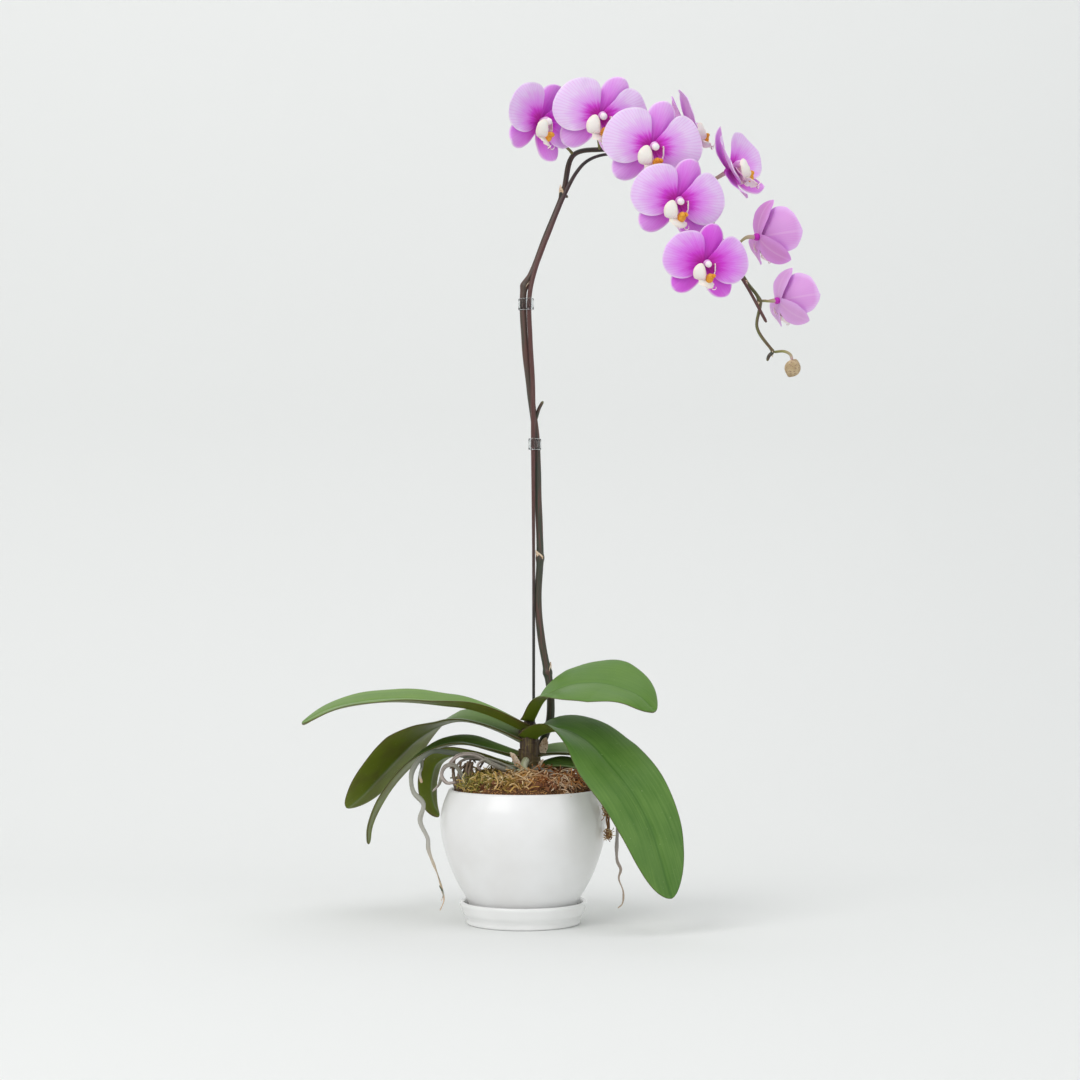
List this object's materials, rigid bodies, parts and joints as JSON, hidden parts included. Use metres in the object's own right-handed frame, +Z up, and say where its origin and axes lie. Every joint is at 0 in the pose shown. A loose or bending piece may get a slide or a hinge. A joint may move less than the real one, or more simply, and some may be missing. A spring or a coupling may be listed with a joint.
{
  "type": "potted orchid",
  "caption": "Moth orchid in bloom: bellied glazed pot on a saucer, bark and moss, strap leaves, aerial roots, and an arching flower spike clipped to a bent stake.",
  "frame": {"origin": "centre of the saucer's flat underside, on the surface that it stands on", "axes": "+Z up along the pot's axis; +X to the side that the flower spike arches over; -Y to the side that the front row of flowers faces"},
  "size_m": [0.4007, 0.1747, 0.6588],
  "materials": {
    "pot_glaze": "satin",
    "saucer_glaze": "gloss",
    "bark_and_moss": "matte",
    "stem_sheath": "matte",
    "leaf": "satin",
    "aerial_root": "matte",
    "spike": "satin",
    "bud": "matte",
    "stake_coating": "satin",
    "clear_plastic": "gloss",
    "petal": "satin",
    "sepal": "satin",
    "lip": "satin"
  },
  "bodies": {
    "root": {"saucer": "saucer_glaze", "pot": "pot_glaze", "potting_medium": "bark_and_moss", "hanging_moss": "bark_and_moss", "crown_stem": "stem_sheath", "leaf_1": "leaf", "leaf_2": "leaf", "leaf_3": "leaf", "leaf_4": "leaf", "leaf_5": "leaf", "leaf_6": "leaf", "leaf_7": "leaf", "leaf_8": "leaf", "root_long_left": "aerial_root", "root_bundle_left": "aerial_root", "root_loop_left": "aerial_root", "root_front": "aerial_root", "root_side": "aerial_root", "root_long_right": "aerial_root", "flower_spike": "spike", "flower_bud": "bud", "support_stake": "stake_coating", "clip_lower": "clear_plastic", "clip_upper": "clear_plastic", "flower_1_sepals": "sepal", "flower_1_petal_left": "petal", "flower_1_petal_right": "petal", "flower_1_lip": "lip", "flower_2_sepals": "sepal", "flower_2_petal_left": "petal", "flower_2_petal_right": "petal", "flower_2_lip": "lip", "flower_3_sepals": "sepal", "flower_3_petal_left": "petal", "flower_3_petal_right": "petal", "flower_3_lip": "lip", "flower_4_sepals": "sepal", "flower_4_petal_left": "petal", "flower_4_petal_right": "petal", "flower_4_lip": "lip", "flower_5_sepals": "sepal", "flower_5_petal_left": "petal", "flower_5_petal_right": "petal", "flower_5_lip": "lip", "flower_6_sepals": "sepal", "flower_6_petal_left": "petal", "flower_6_petal_right": "petal", "flower_6_lip": "lip", "flower_7_sepals": "sepal", "flower_7_petal_left": "petal", "flower_7_petal_right": "petal", "flower_7_lip": "lip", "flower_8_sepals": "sepal", "flower_8_petal_left": "petal", "flower_8_petal_right": "petal", "flower_8_lip": "lip", "flower_9_sepals": "sepal", "flower_9_petal_left": "petal", "flower_9_petal_right": "petal", "flower_9_lip": "lip"}
  },
  "joints": []
}
